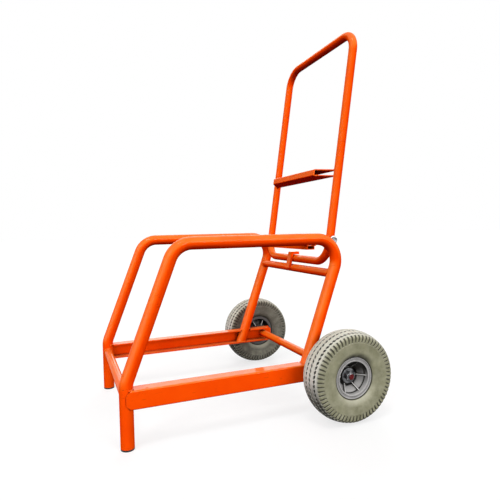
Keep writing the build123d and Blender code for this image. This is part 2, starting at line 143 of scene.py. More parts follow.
def newMask(name, *labels):
    inputs = {label: "Vector" if label == "Stretch" else "Float" for label in labels}
    return newTree(name, "ShaderNodeTree", {**inputs, "Amount": "Float"}, {"Mask": "Float"})


def sendMask(tree, given, result, first, second):
    both = maths(tree, "MULTIPLY", first, second)
    feed(tree, result, {"Mask": maths(tree, "MULTIPLY", both, given["Amount"])})
    return tree


def patches(tree, place, scale, least):
    cloud = noise(tree, place, scale, 4.0, 0.6)
    return remap(tree, cloud, *effectForm["patch"], least, 1.0)


def heightOf(tree, vector):
    return put(tree, "ShaderNodeSeparateXYZ", {"Vector": vector})["Z"]


def makeSurfaceGrain():
    tree, given, result = newTree(
        "surfaceGrain", "ShaderNodeTree",
        {"Fine Scale": "Float", "Broad Scale": "Float"},
        {"Height": "Float", "Mottle": "Float"},
    )
    place = objectPlace(tree)
    fine = noise(tree, place, given["Fine Scale"], 2.0, 0.45)
    broad = noise(tree, place, given["Broad Scale"], 5.0, 0.6)
    feed(tree, result, {"Height": fine, "Mottle": remap(tree, broad, *effectForm["mottle"])})
    return tree


def makeWornEdges():
    tree, given, result = newMask("wornEdges", "Radius", "Break Scale")
    soft = put(tree, "ShaderNodeBevel", {"Radius": given["Radius"]}, samples=6)
    sharp = put(tree, "ShaderNodeNewGeometry")
    facing = put(tree, "ShaderNodeVectorMath", {0: soft[0], 1: sharp["Normal"]},
                 operation="DOT_PRODUCT")
    edge = remap(tree, facing["Value"], *effectForm["edge"])
    broken = noise(tree, objectPlace(tree), given["Break Scale"], 4.0, 0.65)
    return sendMask(tree, given, result, edge, remap(tree, broken, *effectForm["chips"]))


def makeSettledDust():
    tree, given, result = newMask("settledDust", "Top", "Scale")
    place = objectPlace(tree)
    low = remap(tree, heightOf(tree, place), given["Top"], 0.0)
    cloud = noise(tree, place, given["Scale"], 6.0, 0.68)
    return sendMask(tree, given, result, low, remap(tree, cloud, *effectForm["dustCloud"]))


def makeScuffs():
    tree, given, result = newMask("scuffs", "Scale", "Stretch")
    place = objectPlace(tree)
    drawn = put(tree, "ShaderNodeVectorMath", {0: place, 1: given["Stretch"]}, operation="MULTIPLY")
    lines = noise(tree, drawn["Vector"], given["Scale"], 3.0, 0.6)
    where = noise(tree, place, effectForm["fieldScale"], 2.0)
    scratch = remap(tree, lines, *effectForm["scratch"])
    return sendMask(tree, given, result, scratch, remap(tree, where, *effectForm["scratchField"]))


def makePaintedRecessShade():
    # ambient occlusion drives this mask: painted shade in corners, creases and recesses
    tree, given, result = newMask("paintedRecessShade", "Distance", "Open", "Shut", "Break Scale")
    shut = put(tree, "ShaderNodeAmbientOcclusion", {"Distance": given["Distance"]}, samples=8)
    deep = remap(tree, shut["AO"], given["Open"], given["Shut"])
    cloud = patches(tree, objectPlace(tree), given["Break Scale"], effectForm["recessShadeLeast"])
    return sendMask(tree, given, result, deep, cloud)


def makeFaceTilt():
    # full where the surface looks the given way up or down
    tree, given, result = newMask("faceTilt", "Start", "Full", "Break Scale")
    spots = put(tree, "ShaderNodeTexCoord")
    tilt = remap(tree, heightOf(tree, spots["Normal"]), given["Start"], given["Full"])
    cloud = patches(tree, spots["Object"], given["Break Scale"], effectForm["tiltLeast"])
    return sendMask(tree, given, result, tilt, cloud)


surfaceGrain = makeSurfaceGrain()
wornEdges = makeWornEdges()
settledDust = makeSettledDust()
scuffs = makeScuffs()
paintedRecessShade = makePaintedRecessShade()
faceTilt = makeFaceTilt()


def effect(tree, group, **values):
    feeds = {label.replace("_", " "): value for label, value in values.items()}
    return put(tree, "ShaderNodeGroup", feeds, node_tree=group)


def mask(tree, group, **values):
    return effect(tree, group, **values)["Mask"]


def layered(tree, base, values, *layers):
    # lays each named colour over the base, where its mask is
    for where, name in layers:
        base = blend(tree, where, base, values[name])
    return base


def newFinish(name):
    material = bpy.data.materials.new(name)
    material.use_nodes = True
    tree = material.node_tree
    return material, tree, tree.nodes["Principled BSDF"].inputs


def newGrained(name, fine, broad):
    material, tree, shader = newFinish(name)
    return material, tree, shader, effect(tree, surfaceGrain, Fine_Scale=fine, Broad_Scale=broad)


def wire(tree, shader, values, base, height, *dulls):
    # dulls are masks with the name of what each adds to the roughness
    dull = values["roughness"]
    for where, name in dulls:
        dull = maths(tree, "MULTIPLY_ADD", where, values[name], dull)
    strength, distance = values["bump"]
    bump = put(tree, "ShaderNodeBump", {"Height": height, "Strength": strength, "Distance": distance})
    feed(tree, shader, {"Base Color": base, "Roughness": dull, "Normal": bump[0],
                        "Specular IOR Level": values["specular"]})


# Finishes

paintValues = {
    "deep": colour(0.90, 0.048, 0.0),
    "bright": colour(0.98, 0.068, 0.0),
    "paintedTopLight": colour(1.0, 0.20, 0.012),  # painted light on faces that look up
    "shaded": colour(0.46, 0.014, 0.0),  # faces that look down
    "primer": colour(0.30, 0.235, 0.20),
    # pale colour of settled dust, which on the flattest tops is also a painted sheen
    "dust": colour(0.98, 0.48, 0.27),
    "scuff": colour(0.40, 0.035, 0.006),
    "grime": colour(0.05, 0.005, 0.001),
    "roughness": 0.34,
    "dustDull": 0.6,
    "scuffDull": 0.35,
    "mottleDull": 0.06,
    "specular": 0.0,  # the coat gives all the gloss
    "coatRoughness": 0.06,
    "bump": (0.12, 0.0006),
}


def orangePaint():
    values = paintValues
    material, tree, shader, grain = newGrained("orangePaint", 520.0, 11.0)
    worn = mask(tree, wornEdges, Radius=0.0012, Break_Scale=140.0, Amount=0.45)
    # partly settled dust and partly painted sheen on the flattest tops
    dust = mask(tree, faceTilt, Start=0.80, Full=0.97, Break_Scale=55.0, Amount=0.15)
    gloss = mask(tree, faceTilt, Start=0.05, Full=0.30, Break_Scale=30.0, Amount=0.36)
    # painted light: faces that look up are lighter and more yellow
    paintedTopLightMask = mask(tree, faceTilt, Start=-0.04, Full=0.22, Break_Scale=14.0, Amount=0.75)
    shade = mask(tree, faceTilt, Start=-0.20, Full=-0.70, Break_Scale=14.0, Amount=1.15)
    marks = mask(tree, scuffs, Scale=55.0, Stretch=(1.0, 1.0, 5.0), Amount=0.5)
    # painted shade: corners, tube insides and creases are darker
    corners = mask(tree, paintedRecessShade, Distance=0.030, Open=0.85, Shut=0.25, Break_Scale=25.0, Amount=0.12)
    inside = mask(tree, paintedRecessShade, Distance=0.060, Open=0.30, Shut=0.12, Break_Scale=25.0, Amount=1.0)
    grime = mask(tree, paintedRecessShade, Distance=0.007, Open=0.85, Shut=0.25, Break_Scale=60.0, Amount=0.85)
    base = blend(tree, grain["Mottle"], values["deep"], values["bright"])
    base = layered(tree, base, values, (paintedTopLightMask, "paintedTopLight"), (shade, "shaded"), (dust, "dust"),
                   (marks, "scuff"), (worn, "primer"), (corners, "grime"), (inside, "grime"),
                   (grime, "grime"))
    wire(tree, shader, values, base, grain["Height"], (dust, "dustDull"), (marks, "scuffDull"),
         (grain["Mottle"], "mottleDull"))
    # upper faces shine, undersides are dull with dirt
    coat = maths(tree, "SUBTRACT", gloss, maths(tree, "MAXIMUM", worn, marks), clamp=True)
    feed(tree, shader, {"Coat Weight": coat, "Coat Roughness": values["coatRoughness"]})
    return material


rubberValues = {
    "wall": colour(0.280, 0.273, 0.174),
    "wallDark": colour(0.180, 0.175, 0.108),
    # pale tread: partly the tread's own lighter rubber, partly painted light
    "tread": colour(0.70, 0.695, 0.645),
    # painted shade on the wall toward the cart
    "inboard": colour(0.115, 0.110, 0.088),
    # painted shade on faces that look down
    "underside": colour(0.040, 0.038, 0.030),
    # painted shade in the tread's slots, notches and rings
    "groove": colour(0.025, 0.023, 0.018),
    "dust": colour(0.56, 0.545, 0.43),
    "roughness": 0.72,
    "dustDull": 0.3,
    "specular": 0.2,
    "bump": (0.35, 0.0007),
}


def tyreRubber():
    values = rubberValues
    material, tree, shader, grain = newGrained("tyreRubber", 900.0, 24.0)
    dust = mask(tree, settledDust, Top=0.5, Scale=34.0, Amount=0.30)
    worn = mask(tree, wornEdges, Radius=0.0012, Break_Scale=60.0, Amount=0.55)
    marks = mask(tree, scuffs, Scale=70.0, Stretch=(1.0, 3.0, 1.0), Amount=0.4)
    # painted light: faces that look up take the pale dust colour
    upper = mask(tree, faceTilt, Start=0.08, Full=0.65, Break_Scale=45.0, Amount=0.70)
    # painted shade: faces that look down, and the lower tread, are darker
    under = mask(tree, faceTilt, Start=-0.20, Full=-0.65, Break_Scale=45.0, Amount=1.2)
    belly = mask(tree, faceTilt, Start=0.10, Full=-0.45, Break_Scale=45.0, Amount=1.2)
    tread = carried(tree, "tread")
    low = maths(tree, "MULTIPLY", belly, tread, clamp=True)
    base = blend(tree, grain["Mottle"], values["wallDark"], values["wall"])
    base = layered(tree, base, values, (carried(tree, "inboard"), "inboard"), (tread, "tread"),
                   (dust, "dust"), (upper, "dust"), (worn, "dust"), (marks, "wallDark"),
                   (under, "underside"), (low, "underside"), (carried(tree, "groove"), "groove"))
    wire(tree, shader, values, base, grain["Height"], (dust, "dustDull"))
    return material


rimValues = {
    "light": colour(0.33, 0.320, 0.318),
    "dark": colour(0.225, 0.218, 0.216),
    "edge": colour(0.74, 0.73, 0.71),
    "upper": colour(0.64, 0.625, 0.612),  # painted light on faces that look up
    # painted shade on the side toward the cart
    "inboard": colour(0.085, 0.080, 0.078),
    # settled dust, and painted shade in the rim's recesses
    "dirt": colour(0.014, 0.012, 0.010),
    "cornerShadeLine": (0.86, 0.98),  # share of the dish's corner that gets painted shade
    "roughness": 0.42,
    "mottleDull": 0.12,
    "specular": 0.2,
    "bump": (0.2, 0.0006),
}


def greyRim():
    values = rimValues
    material, tree, shader, grain = newGrained("greyRim", 700.0, 45.0)
    worn = mask(tree, wornEdges, Radius=0.0014, Break_Scale=90.0, Amount=0.8)
    dust = mask(tree, settledDust, Top=0.4, Scale=60.0, Amount=0.15)
    # painted shade: the dish, the rib feet and the dish's corner are darker
    grime = mask(tree, paintedRecessShade, Distance=0.045, Open=0.85, Shut=0.30, Break_Scale=70.0, Amount=0.92)
    # painted light: faces that look up are lighter
    upper = mask(tree, faceTilt, Start=0.10, Full=0.65, Break_Scale=60.0, Amount=0.85)
    # painted shade: faces that look down are darker
    under = mask(tree, faceTilt, Start=-0.05, Full=-0.45, Break_Scale=60.0, Amount=1.5)
    narrowRecessShade = mask(tree, paintedRecessShade, Distance=0.009, Open=0.78, Shut=0.48, Break_Scale=70.0, Amount=0.9)
    corner = remap(tree, carried(tree, "dishCorner"), *values["cornerShadeLine"])
    base = blend(tree, grain["Mottle"], values["dark"], values["light"])
    base = layered(tree, base, values, (upper, "upper"), (carried(tree, "inboard"), "inboard"),
                   (dust, "dirt"), (worn, "edge"), (carried(tree, "crest"), "edge"), (grime, "dirt"),
                   (under, "dirt"), (narrowRecessShade, "dirt"), (corner, "dirt"))
    wire(tree, shader, values, base, grain["Height"], (grain["Mottle"], "mottleDull"))
    return material


metalValues = {
    "worn": colour(0.75, 0.75, 0.74),
    "grime": colour(0.012, 0.011, 0.010),
    "mottleDull": 0.12,
    "scuffDull": 0.25,
    "specular": 0.5,
    "bump": (0.15, 0.0004),
}
metals = {
    # the low, patchy base colour is partly painted reflection of dark surroundings
    "brightZinc": {"light": colour(0.38, 0.385, 0.40), "dark": colour(0.06, 0.06, 0.065),
                   "roughness": 0.12, "grain": 500.0, "stretch": 5.0},
    "oiledZinc": {"light": colour(0.24, 0.243, 0.25), "dark": colour(0.015, 0.015, 0.018),
                  "roughness": 0.12, "grain": 500.0, "stretch": 5.0},
    "axleSteel": {"light": colour(0.55, 0.54, 0.53), "dark": colour(0.30, 0.29, 0.28),
                  "roughness": 0.32, "grain": 900.0, "stretch": 6.0},
    "bearingSteel": {"light": colour(0.66, 0.66, 0.67), "dark": colour(0.44, 0.44, 0.45),
                     "roughness": 0.2, "grain": 1100.0, "stretch": 8.0},
}


def startMetal(name):
    values = {**metalValues, **metals[name]}
    material, tree, shader, grain = newGrained(name, values["grain"], 80.0)
    worn = mask(tree, wornEdges, Radius=0.0008, Break_Scale=150.0, Amount=0.6)
    marks = mask(tree, scuffs, Scale=240.0, Stretch=(1.0, values["stretch"], 1.0), Amount=0.6)
    # painted shade in the metal's crevices
    grime = mask(tree, paintedRecessShade, Distance=0.012, Open=0.70, Shut=0.25, Break_Scale=120.0, Amount=0.92)
    base = blend(tree, grain["Mottle"], values["dark"], values["light"])
    base = layered(tree, base, values, (marks, "dark"), (worn, "worn"), (grime, "grime"))
    wire(tree, shader, values, base, grain["Height"], (grain["Mottle"], "mottleDull"), (marks, "scuffDull"))
    feed(tree, shader, {"Metallic": 1.0})
    return material, tree, shader, base


def metal(name):
    return startMetal(name)[0]


tipValues = {
    "length": 2.4 * mm,
    "red": colour(0.105, 0.006, 0.008),
    "specular": 0.1,
    "raggedScale": 420.0,
    "ragged": 1.6 * mm,
    "fade": 0.3 * mm,
    "chipScale": 700.0,
    "chips": (0.28, 0.34),
}


def axleSteel():
    # the rod's ends were dipped in dark red paint
    values = tipValues
    material, tree, shader, base = startMetal("axleSteel")
    place = objectPlace(tree)
    out = maths(tree, "ABSOLUTE", put(tree, "ShaderNodeSeparateXYZ", {"Vector": place})["Y"])
    ragged = maths(tree, "MULTIPLY_ADD", noise(tree, place, values["raggedScale"]), values["ragged"], out)
    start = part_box("axle_rod")[1].y - values["length"]
    chips = remap(tree, noise(tree, place, values["chipScale"]), *values["chips"])
    dipped = maths(tree, "MULTIPLY", remap(tree, ragged, start, start + values["fade"]), chips)
    feed(tree, shader, {"Base Color": blend(tree, dipped, base, values["red"]),
                        "Metallic": maths(tree, "SUBTRACT", 1.0, dipped),
                        "Specular IOR Level": values["specular"]})
    return material


plasticValues = {
    "light": colour(0.022, 0.021, 0.020),
    "dark": colour(0.010, 0.010, 0.010),
    "dust": colour(0.10, 0.09, 0.075),
    "worn": colour(0.12, 0.115, 0.11),
    "roughness": 0.45,
    "dustDull": 0.35,
    "specular": 0.25,
    "bump": (0.3, 0.0005),
}


def blackPlastic():
    values = plasticValues
    material, tree, shader, grain = newGrained("blackPlastic", 850.0, 60.0)
    worn = mask(tree, wornEdges, Radius=0.0010, Break_Scale=120.0, Amount=0.7)
    dust = mask(tree, settledDust, Top=0.06, Scale=90.0, Amount=0.15)
    base = blend(tree, grain["Mottle"], values["dark"], values["light"])
    base = layered(tree, base, values, (dust, "dust"), (worn, "worn"))
    wire(tree, shader, values, base, grain["Height"], (dust, "dustDull"))
    return material


finishes = {
    "orange_paint": orangePaint(),
    "grey_tyre": tyreRubber(),
    "rim_grey": greyRim(),
    "bright_zinc": metal("brightZinc"),
    "oiled_zinc": metal("oiledZinc"),
    "plain_steel": axleSteel(),
    "bearing_steel": metal("bearingSteel"),
    "black_plastic": blackPlastic(),
}
for part in frame["record"]["subparts"]:
    mesh = frame["nodes"][part["node"]].data
    mesh.materials.clear()
    mesh.materials.append(finishes[part["material_slot"]])
print("finishes on", len(frame["nodes"]), "solids")


# Mesh helpers

def clamped(value):
    return min(1.0, max(0.0, value))


def camelName(node):
    first, *others = node.split("_")
    return first + "".join(word.capitalize() for word in others)


def softOutline(corners, steps=5):
    # closed outline of (along, radius, rounding) corners, each rounding drawn as an arc
    outline = []
    for i, (along, radius, rounding) in enumerate(corners):
        here = Vector((along, radius))
        if rounding == 0:
            outline.append(here)
            continue
        before = (Vector(corners[i - 1][:2]) - here).normalized()
        after = (Vector(corners[(i + 1) % len(corners)][:2]) - here).normalized()
        half = before.angle(after) / 2
        centre = here + (before + after).normalized() * rounding / math.sin(half)
        start = here + before * rounding / math.tan(half) - centre
        end = here + after * rounding / math.tan(half) - centre
        for step in range(steps + 1):
            outline.append(centre + start.lerp(end, step / steps).normalized() * rounding)
    return outline


def spoke(along, radius, angle, side):
    # a point about the wheel's or bolt's own Y axis, in metres
    return Vector((radius * math.cos(angle), side * along, radius * math.sin(angle))) * mm


def skin(bm, rows, closed):
    count = len(rows)
    for i in range(count if closed else count - 1):
        row, following = rows[i], rows[(i + 1) % count]
        for j in range(len(row) - 1):
            bm.faces.new((row[j], row[j + 1], following[j + 1], following[j]))


def turnSector(bm, outline, side, sector, steps):
    angles = [sector * step / steps for step in range(steps + 1)]
    rows = [[bm.verts.new(spoke(*point, angle, side)) for angle in angles] for point in outline]
    skin(bm, rows, True)


def meshFrom(bm, name):
    bmesh.ops.recalc_face_normals(bm, faces=bm.faces)
    mesh = bpy.data.meshes.new(name)
    bm.to_mesh(mesh)
    bm.free()
    return mesh


def finishedMesh(bm, name, finish, angle=softAngle):
    mesh = meshFrom(bm, name)
    closeUp(mesh)
    mesh.materials.append(finishes[finish])
    smooth(mesh, angle)
    return mesh


def newPiece(name, data):
    piece = bpy.data.objects.new(name, data)
    scene.collection.objects.link(piece)
    return piece


def smooth(mesh, angle=softAngle):
    mesh.shade_smooth()
    mesh.set_sharp_from_angle(angle=math.radians(angle))


def settle(host, tree, values, name):
    # runs a geometry tree on the host and keeps what it makes as a plain mesh
    modifier = host.modifiers.new(tree.name, "NODES")
    modifier.node_group = tree
    for item in tree.interface.items_tree:
        if item.in_out == "INPUT" and item.name in values:
            modifier[item.identifier] = values[item.name]
    graph = bpy.context.evaluated_depsgraph_get()
    mesh = bpy.data.meshes.new_from_object(host.evaluated_get(graph), depsgraph=graph)
    mesh.name = name
    mesh.materials.clear()
    mesh.materials.append(values["Finish"])
    mesh.polygons.foreach_set("material_index", [0] * len(mesh.polygons))
    bpy.data.objects.remove(host)
    return mesh


def closeUp(mesh):
    bm = bmesh.new()
    bm.from_mesh(mesh)
    bmesh.ops.remove_doubles(bm, verts=bm.verts, dist=weldGap)
    bmesh.ops.recalc_face_normals(bm, faces=bm.faces)
    bm.to_mesh(mesh)
    bm.free()


def place(name, mesh, body, slot, *nodes):
    piece = newPiece(name, mesh)
    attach(piece, body)
    if nodes:
        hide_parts(*nodes)
    print(name, len(mesh.polygons), "faces")


def newShape(name, inputs):
    inputs = {"Geometry": "Geometry", **inputs, "Finish": "Material"}
    return newTree(name, "GeometryNodeTree", inputs, {"Geometry": "Geometry"})


def realize(tree, given, result, last):
    whole = put(tree, "GeometryNodeRealizeInstances", {"Geometry": last[0]})
    finish = put(tree, "GeometryNodeSetMaterial", {"Geometry": whole[0], "Material": given["Finish"]})
    feed(tree, result, {"Geometry": finish[0]})
    return tree


def makeAroundAxle():
    tree, given, result = newShape("aroundAxle", {"Copies": "Int", "Centre": "Vector"})
    points = put(tree, "GeometryNodePoints", {"Count": given["Copies"], "Position": given["Centre"]})
    index = put(tree, "GeometryNodeInputIndex")
    pitch = maths(tree, "DIVIDE", 2 * math.pi, given["Copies"])
    angle = maths(tree, "MULTIPLY", index[0], pitch)
    turn = put(tree, "FunctionNodeAxisAngleToRotation", {"Axis": (0.0, 1.0, 0.0), "Angle": angle})
    copies = put(tree, "GeometryNodeInstanceOnPoints", {
        "Points": points[0], "Instance": given["Geometry"], "Rotation": turn[0]})
    return realize(tree, given, result, copies)


aroundAxle = makeAroundAxle()


def repeatAround(bm, name, copies, centre, finish):
    host = newPiece(name + "Sector", meshFrom(bm, name + "Sector"))
    values = {"Copies": copies, "Centre": centre, "Finish": finishes[finish]}
    mesh = settle(host, aroundAxle, values, name)
    closeUp(mesh)
    smooth(mesh)
    return mesh


# Tyres: one notch of tread, repeated round the axle

tyreForm = {
    "notches": 62,
    "columns": (0.0, 0.27, 0.32, 0.68, 0.73, 1.0),  # shares of the pitch, a slot's floor in the middle
    "crownArc": 95.0,
    "treadHalf": 37.0,
    "wallFoot": 82.0,  # the upright wall turns in to the bead here
    "beadRadius": 62.3,
    "beadHalf": 35.0,
    "pocketRows": (9.4, 28.0),  # from the crown, along the skin
    "pocketHalf": 3.4,
    "pocketStretch": 1.4,  # longer than the notches are wide
    "pocketDepth": 3.0,
    "pocketSlant": 0.15,
    "pocketEnd": 37.6,  # all pockets are nearer the crown than this
    "grooveHalf": 0.7,
    "grooveDepth": 1.1,
    "lip": 0.45,  # slope of every groove's wall
    "land": 7.52,  # from a row of pockets to the middle of the next land
    "notchStart": 38.6,
    "notchEnd": 61.0,
    "notchDepth": 3.2,
    "notchHook": 0.17,
    "notchSteps": 9,
    "notchFade": 0.55,  # of the depth, lost at the notch's end
    "hookStart": 0.6,  # share of the notch's length
    "ridge": ((2.0, 0.0), (2.6, -0.2), (4.6, -0.2), (5.4, 0.0)),  # past the notches: distance, depth
    "ridgeEnd": 8.0,  # from the notches' end
    "wallRun": 45.2,
    "wallSteps": 15,
    "gapRadius": 62.4,  # dark gap beside the rim's flange
    "seatRadius": 56.1,
    "hiddenRun": 200.0,  # stands for the hidden seat's distance
    "hiddenDepth": 2.0,  # and gives it painted shade
    "darkDepth": 2.4,  # a slot this deep has the full painted shade
    "notchDark": 0.8,
    "ringDark": 0.75,
    "treadPast": 4.0,  # the tread's colour fades out past the notches' start
    "treadFade": 8.0,
    "inboardStart": 34.0,
    "inboardFade": 14.0,
}


def heading(angle):
    return Vector((math.sin(angle), math.cos(angle)))


def tyreLine(form, radius, half, distance):
    # point and outward direction on the half profile, by distance from the crown
    crown, foot = form["crownArc"], form["wallFoot"]
    turn = math.asin(form["treadHalf"] / crown)
    crownRun = crown * turn
    bend = (half - form["treadHalf"]) / (1 - math.sin(turn))
    bendRun = bend * (math.pi / 2 - turn)
    crownMiddle = radius - crown
    bendMiddle = crownMiddle + (crown - bend) * math.cos(turn)
    flatRun = bendMiddle - foot
    drop = foot - form["beadRadius"]
    tuck = half - form["beadHalf"]
    wallArc = (drop ** 2 + tuck ** 2) / (2 * tuck)
    if distance <= crownRun:
        way = heading(distance / crown)
        return Vector((0, crownMiddle)) + way * crown, way
    distance -= crownRun
    if distance <= bendRun:
        way = heading(turn + distance / bend)
        return Vector((half - bend, bendMiddle)) + way * bend, way
    distance -= bendRun
    if distance <= flatRun:
        return Vector((half, bendMiddle - distance)), Vector((1, 0))
    way = heading(math.pi / 2 + (distance - flatRun) / wallArc)
    return Vector((half - wallArc, foot)) + way * wallArc, way


def tyreRows(form):
    # distance from the crown, slot depth, ring depth, slant
    rows = [(0.0, 0.0, 0.0, 0.0)]
    reach, groove, lip = form["pocketHalf"], form["grooveHalf"], form["lip"]
    for number, middle in enumerate(form["pocketRows"]):
        slant = form["pocketSlant"] * (-1) ** number
        for offset, slot, ring in (
            (-reach - lip, 0, 0), (-reach, 1, 0), (-groove - lip, 1, 0), (-groove, 1, 1),
            (groove, 1, 1), (groove + lip, 1, 0), (reach, 1, 0), (reach + lip, 0, 0),
        ):
            rows.append((middle + offset, slot * form["pocketDepth"], ring * form["grooveDepth"],
                         slant * offset / reach))
        rows.append((middle + form["land"], 0.0, 0.0, 0.0))
    start, end = form["notchStart"], form["notchEnd"]
    rows.append((start - lip, 0.0, 0.0, 0.0))
    for step in range(form["notchSteps"] + 1):
        share = step / form["notchSteps"]
        depth = form["notchDepth"] * (1 - form["notchFade"] * share ** 2)
        hook = form["notchHook"] * max(0.0, share - form["hookStart"]) / (1 - form["hookStart"])
        rows.append((start + (end - start) * share, depth, 0.0, hook))
    rows.append((end + 2 * lip, 0.0, 0.0, form["notchHook"]))
    for beyond, ring in form["ridge"]:
        rows.append((end + beyond, 0.0, ring, 0.0))
    for step in range(form["wallSteps"] + 1):
        beyond = form["ridgeEnd"] + (form["wallRun"] - form["ridgeEnd"]) * step / form["wallSteps"]
        rows.append((end + beyond, 0.0, 0.0, 0.0))
    return rows


def tyreSection(form, radius, half):
    # (point, outward, slot depth, slant, distance, ring depth) down one side, then the hidden seat
    section = []
    for distance, slot, ring, slant in tyreRows(form):
        point, way = tyreLine(form, radius, half, distance)
        section.append((point - way * ring, way, max(slot - max(ring, 0.0), 0.0), slant, distance, ring))
    edge = section[-1][0]
    gap = form["gapRadius"]
    for inset, height in ((0.6, edge.y - 0.8), (1.6, gap + 0.2), (3.0, gap), (6.4, gap),
                          (6.8, form["seatRadius"])):
        point = Vector((edge.x - inset, height))
        section.append((point, Vector((1, 0)), 0.0, 0.0, form["hiddenRun"], form["hiddenDepth"]))
    return section


def tyreShares(form, distance, slot, ring, inner, inboard):
    # how much of the groove, tread and inboard colours one vertex carries: painted shade in the recesses, the
    # tread's paler colour that is partly painted light, and painted shade on the inboard wall
    notch = form["pocketEnd"] < distance < form["notchEnd"]
    slotDark = clamped(slot / form["darkDepth"]) * (form["notchDark"] if notch else 1.0)
    groove = max(slotDark if inner else 0.0, clamped(ring) * form["ringDark"])
    tread = clamped((form["notchStart"] + form["treadPast"] - distance) / form["treadFade"])
    wall = clamped((distance - form["inboardStart"]) / form["inboardFade"])
    return groove, tread, wall if inboard else 0.0


def buildTyre(name, node, outward):
    form = tyreForm
    size = sizeOf(node)
    half = tyreSection(form, size.z / 2 / mm, size.y / 2 / mm)
    pitch = 2 * math.pi / form["notches"]
    bm = bmesh.new()
    layers = [bm.verts.layers.float.new(layer) for layer in ("groove", "tread", "inboard")]
    rows = []
    for side, section in ((-1, half[:0:-1]), (1, half)):
        for point, way, slot, slant, distance, ring in section:
            row = []
            stretch = form["pocketStretch"] if distance < form["pocketEnd"] else 1.0
            for number, column in enumerate(form["columns"]):
                inner = number in (2, 3)
                share = column if number in (0, 5) else 0.5 + (column - 0.5) * stretch + slant
                spot = point - way * (slot if inner else 0.0)
                vert = bm.verts.new(spoke(side * spot.x, spot.y, share * pitch, 1))
                shares = tyreShares(form, distance, slot, ring, inner, side != outward)
                for layer, value in zip(layers, shares):
                    vert[layer] = value
                row.append(vert)
            rows.append(row)
    skin(bm, rows, True)
    return repeatAround(bm, name, form["notches"], middleOf(node), "grey_tyre")


for side, sign in sides.items():
    tyre = buildTyre(side + "Tyre", side + "_tyre", sign)
    place(side + "Tyre", tyre, side + "_wheel", "grey_tyre", side + "_tyre")


# Rims: a sixth of the turned dish with one rib on each side, repeated round the axle

rimForm = {
    "ribs": 6,
    "lip": 33.0,  # lip's face from the wheel's middle plane
    "flangeRadius": 60.0,
    "flangeThickness": 4.0,
    "bandOuter": 57.4,  # a sunk band between the lip's two rolled edges
    "bandInner": 51.2,
    "bandDepth": 0.9,
    "seatRadius": 56.0,
    "openingRadius": 48.0,
    "webDepth": 16.0,
    "webThickness": 5.0,
    "wellRadius": 31.5,  # dark well round the hub
    "wellMouth": 1.5,
    "wellFloor": -12.0,
    "bossRadius": 24.55,
    "bossEnd": -4.0,
    "bossBack": -34.0,
    "bore": 20.55,
    "sectorSteps": 18,
    "ribThickness": 3.0,
    "ribSag": 1.2,
    "ribDraft": 1.35,  # half widths at the foot
    "ribCrest": ((-1.0, 1.4), (-0.75, 0.45), (0.0, 0.0), (0.75, 0.45), (1.0, 1.4)),  # half widths, drop
    "ribBite": 0.5,  # into the boss and the barrel
    "ribLip": 26.0,
    "ribHub": 3.0,
    "ribDepth": 14.0,
    "ribBack": -26.0,
    "ribBackHub": -32.5,
    "ribBackDepth": 16.0,
    "cornerShadeReach": 5.0,  # painted shade lies in the dish's corner
    "cornerShadeHalf": 2.6,
    "lipBand": 0.3,  # the lip's rolled edges get a painted highlight
    "lipRub": 0.3,
}


def rimOutline(form):
    # each corner's rounding is its last number
    lip, opening, edge, seat = form["lip"], form["openingRadius"], form["flangeRadius"], form["seatRadius"]
    well, wellFloor, boss, bore = form["wellRadius"], form["wellFloor"], form["bossRadius"], form["bore"]
    band = lip - form["bandDepth"]
    web = lip - form["webDepth"]
    thick = form["webThickness"]
    flange = lip - form["flangeThickness"]
    return softOutline([
        (lip, edge, 1.2),
        (lip, form["bandOuter"], 0.4),
        (band, form["bandOuter"] - 0.6, 0.4),
        (band, form["bandInner"] + 0.6, 0.4),
        (lip, form["bandInner"], 0.4),
        (lip, opening, 1.2),
        (web, opening - 0.8, 2.5),
        (form["wellMouth"], well, 1.2),
        (wellFloor, well - 0.6, 1.2),
        (wellFloor, boss + 0.4, 1.2),
        (form["bossEnd"], boss, 0.8),
        (form["bossEnd"], bore, 0.4),
        (form["bossBack"], bore, 0.4),
        (form["bossBack"], boss, 0.8),
        (wellFloor - thick, boss + 0.6, 1.5),
        (wellFloor - thick, well + 1.0, 1.5),
        (web - thick - 1.0, opening - 0.8, 2.5),
        (-lip, opening, 2.2),
        (-lip, edge, 1.6),
        (-flange, edge, 0.6),
        (1.0 - flange, seat, 1.0),
        (flange - 1.0, seat, 1.0),
        (flange, edge, 0.6),
    ])


def addRib(bm, form, side, inner, outer, depth):
    # a plate with a rounded crest between two (along, radius) points, at the sector's first edge
    half = form["ribThickness"] / 2
    section = ((-form["ribDraft"], depth), *form["ribCrest"], (form["ribDraft"], depth))
    crestLayer = bm.verts.layers.float["crest"]
    rows = []
    for share in (0.0, 0.25, 0.5, 0.75, 1.0):
        crest = Vector(inner).lerp(Vector(outer), share)
        sag = math.sin(share * math.pi) * form["ribSag"]
        row = []
        for across, down in section:
            along = crest.x - math.copysign(down + sag, crest.x)
            sideways = Vector((0, 0, across * half)) * mm
            vert = bm.verts.new(spoke(along, crest.y, 0.0, side) + sideways)
            # painted highlight along the rib's crest
            vert[crestLayer] = 1.0 if abs(across) < 1.0 else 0.0
            row.append(vert)
        rows.append(row)
    skin(bm, rows, False)


